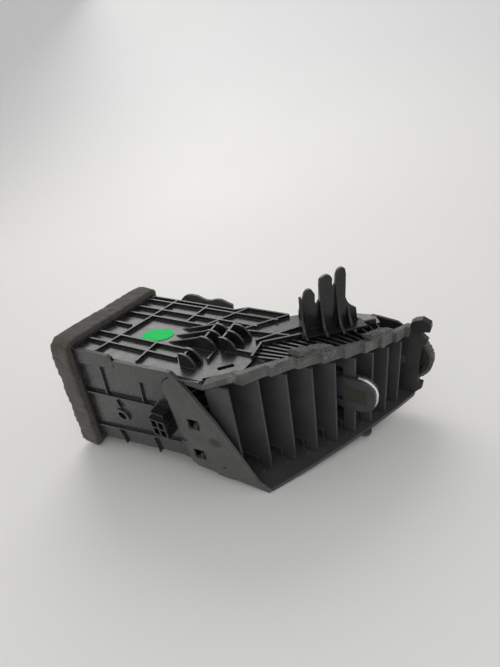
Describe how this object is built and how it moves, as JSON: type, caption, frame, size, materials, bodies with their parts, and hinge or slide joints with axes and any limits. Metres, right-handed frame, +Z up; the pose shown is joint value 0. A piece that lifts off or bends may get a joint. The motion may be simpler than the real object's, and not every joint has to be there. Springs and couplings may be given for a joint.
{
  "type": "vehicle dashboard air vent",
  "caption": "Oblique dashboard air outlet: plastic duct with foam inlet gasket, upright vanes with a sliding knob, inner louvres, shut-off flap and side thumbwheel",
  "frame": {"origin": "centre of the footprint on the surface that the vent stands on", "axes": "+Z up, -Y towards the outlet, +Y towards the inlet, +X towards the thumbwheel"},
  "size_m": [0.1416, 0.2232, 0.1213],
  "materials": {
    "gloss_black": "satin moulded black",
    "matte_grey": "fine-grained dark grey",
    "vane_grey": "matt dark grey",
    "mech_black": "plain black moulding",
    "foam": "open-cell brown-grey foam",
    "green_sticker": "printed paper dot",
    "bright_trim": "bright plated",
    "grip": "soft-touch inlay",
    "tread": "notched soft tread",
    "steel": "plain steel"
  },
  "bodies": {
    "housing": {"duct_top_shell": "gloss_black", "duct_bottom_shell": "gloss_black", "inlet_gasket": "foam", "vane_ceiling": "gloss_black", "vane_floor": "vane_grey", "top_rim": "matte_grey", "foam_strip_left": "foam", "foam_strip_right": "foam", "left_plate": "matte_grey", "window_clips": "mech_black", "right_cheek": "matte_grey", "hook_bracket": "gloss_black", "side_locator": "gloss_black", "green_dot": "green_sticker", "linkage_cover": "matte_grey", "louvre_bearing_left": "mech_black", "louvre_bearing_right": "mech_black", "wheel_axle": "steel", "vane_01": "vane_grey"},
    "vane_body_2": {"vane_02": "vane_grey"},
    "vane_body_3": {"vane_03": "vane_grey"},
    "vane_body_4": {"vane_04": "vane_grey"},
    "vane_body_5": {"vane_05": "vane_grey"},
    "vane_body_6": {"vane_06": "vane_grey"},
    "vane_body_7": {"vane_07": "vane_grey"},
    "vane_body_8": {"vane_08": "vane_grey"},
    "vane_body_9": {"vane_09": "vane_grey"},
    "vane_tie": {"vane_link": "mech_black"},
    "knob": {"knob_body": "vane_grey", "knob_trim": "bright_trim", "knob_grip": "grip"},
    "louvre_body_1": {"louvre_01": "mech_black"},
    "louvre_body_3": {"louvre_03": "mech_black"},
    "louvre_body_4": {"louvre_04": "mech_black"},
    "louvre_body_2": {"louvre_02": "mech_black", "louvre_arm": "mech_black"},
    "louvre_tie": {"louvre_link": "mech_black"},
    "wheel": {"thumbwheel": "mech_black", "wheel_tread": "tread"},
    "flap": {"flap_plate": "mech_black", "flap_seal": "foam", "flap_lever": "mech_black"},
    "rod": {"wheel_rod": "mech_black"}
  },
  "joints": [
    {"name": "vane_turn", "type": "hinge", "parent": "housing", "child": "vane_body_6", "pos_m": [0.00968, -0.068, 0.04026], "axis": [-0.1745, -0.124, 0.9768], "range_deg": [-25, 25]},
    {"name": "vane_2_turn", "type": "hinge", "parent": "housing", "child": "vane_body_2", "pos_m": [-0.03699, -0.03207, 0.03648], "axis": [-0.1745, -0.124, 0.9768], "range_deg": [-25, 25]},
    {"name": "vane_3_turn", "type": "hinge", "parent": "housing", "child": "vane_body_3", "pos_m": [-0.02529, -0.04255, 0.03724], "axis": [-0.1745, -0.124, 0.9768], "range_deg": [-25, 25]},
    {"name": "vane_4_turn", "type": "hinge", "parent": "housing", "child": "vane_body_4", "pos_m": [-0.01361, -0.05203, 0.03813], "axis": [-0.1745, -0.124, 0.9768], "range_deg": [-25, 25]},
    {"name": "vane_5_turn", "type": "hinge", "parent": "housing", "child": "vane_body_5", "pos_m": [-0.00196, -0.06051, 0.03913], "axis": [-0.1745, -0.124, 0.9768], "range_deg": [-25, 25]},
    {"name": "vane_7_turn", "type": "hinge", "parent": "housing", "child": "vane_body_7", "pos_m": [0.02129, -0.07449, 0.04151], "axis": [-0.1745, -0.124, 0.9768], "range_deg": [-25, 25]},
    {"name": "vane_8_turn", "type": "hinge", "parent": "housing", "child": "vane_body_8", "pos_m": [0.03288, -0.07998, 0.04288], "axis": [-0.1745, -0.124, 0.9768], "range_deg": [-25, 25]},
    {"name": "vane_9_turn", "type": "hinge", "parent": "housing", "child": "vane_body_9", "pos_m": [0.04444, -0.08448, 0.04438], "axis": [-0.1745, -0.124, 0.9768], "range_deg": [-25, 25]},
    {"name": "vane_tie_turn", "type": "hinge", "parent": "vane_body_6", "child": "vane_tie", "pos_m": [0.014, -0.05485, 0.01608], "axis": [-0.1745, -0.124, 0.9768], "range_deg": [-25, 25]},
    {"name": "knob_slide", "type": "slide", "parent": "vane_body_6", "child": "knob", "axis": [-0.1745, -0.124, 0.9768], "range_m": [-0.011, 0.011]},
    {"name": "louvre_2_turn", "type": "hinge", "parent": "housing", "child": "louvre_body_2", "pos_m": [-0.0185, -0.01272, 0.04327], "axis": [0.8375, -0.5404, 0.081], "range_deg": [-20.6, 20.6]},
    {"name": "louvre_1_turn", "type": "hinge", "parent": "housing", "child": "louvre_body_1", "pos_m": [-0.0157, -0.01074, 0.02764], "axis": [0.8375, -0.5404, 0.081], "range_deg": [-20.6, 20.6]},
    {"name": "louvre_3_turn", "type": "hinge", "parent": "housing", "child": "louvre_body_3", "pos_m": [-0.02129, -0.01471, 0.0589], "axis": [0.8375, -0.5404, 0.081], "range_deg": [-20.6, 20.6]},
    {"name": "louvre_4_turn", "type": "hinge", "parent": "housing", "child": "louvre_body_4", "pos_m": [-0.02408, -0.01669, 0.07453], "axis": [0.8375, -0.5404, 0.081], "range_deg": [-20.6, 20.6]},
    {"name": "louvre_tie_turn", "type": "hinge", "parent": "louvre_body_2", "child": "louvre_tie", "pos_m": [-0.04763, 0.01308, 0.04134], "axis": [0.8375, -0.5404, 0.081], "range_deg": [-20.6, 20.6]},
    {"name": "flap_turn", "type": "hinge", "parent": "housing", "child": "flap", "pos_m": [-0.01927, 0.04964, 0.05873], "axis": [0.9844, 0, 0.1759], "range_deg": [0, 80]},
    {"name": "wheel_turn", "type": "hinge", "parent": "housing", "child": "wheel", "pos_m": [0.06215, -0.09123, 0.04361], "axis": [0.9844, 0, 0.1759], "range_deg": [0, 80]},
    {"name": "rod_turn", "type": "hinge", "parent": "flap", "child": "rod", "pos_m": [0.02414, 0.04313, 0.05625], "axis": [0.9844, 0, 0.1759], "range_deg": [-80, 0]}
  ],
  "couplings": [
    {"joint": "vane_2_turn", "follows": "vane_turn", "ratio": 1},
    {"joint": "vane_3_turn", "follows": "vane_turn", "ratio": 1},
    {"joint": "vane_4_turn", "follows": "vane_turn", "ratio": 1},
    {"joint": "vane_5_turn", "follows": "vane_turn", "ratio": 1},
    {"joint": "vane_7_turn", "follows": "vane_turn", "ratio": 1},
    {"joint": "vane_8_turn", "follows": "vane_turn", "ratio": 1},
    {"joint": "vane_9_turn", "follows": "vane_turn", "ratio": 1},
    {"joint": "vane_tie_turn", "follows": "vane_turn", "ratio": -1},
    {"joint": "louvre_2_turn", "follows": "knob_slide", "rad_per_m": -31.893},
    {"joint": "louvre_1_turn", "follows": "knob_slide", "rad_per_m": -31.893},
    {"joint": "louvre_3_turn", "follows": "knob_slide", "rad_per_m": -31.893},
    {"joint": "louvre_4_turn", "follows": "knob_slide", "rad_per_m": -31.893},
    {"joint": "louvre_tie_turn", "follows": "knob_slide", "rad_per_m": 31.893},
    {"joint": "wheel_turn", "follows": "flap_turn", "ratio": 1},
    {"joint": "rod_turn", "follows": "flap_turn", "ratio": -1}
  ]
}
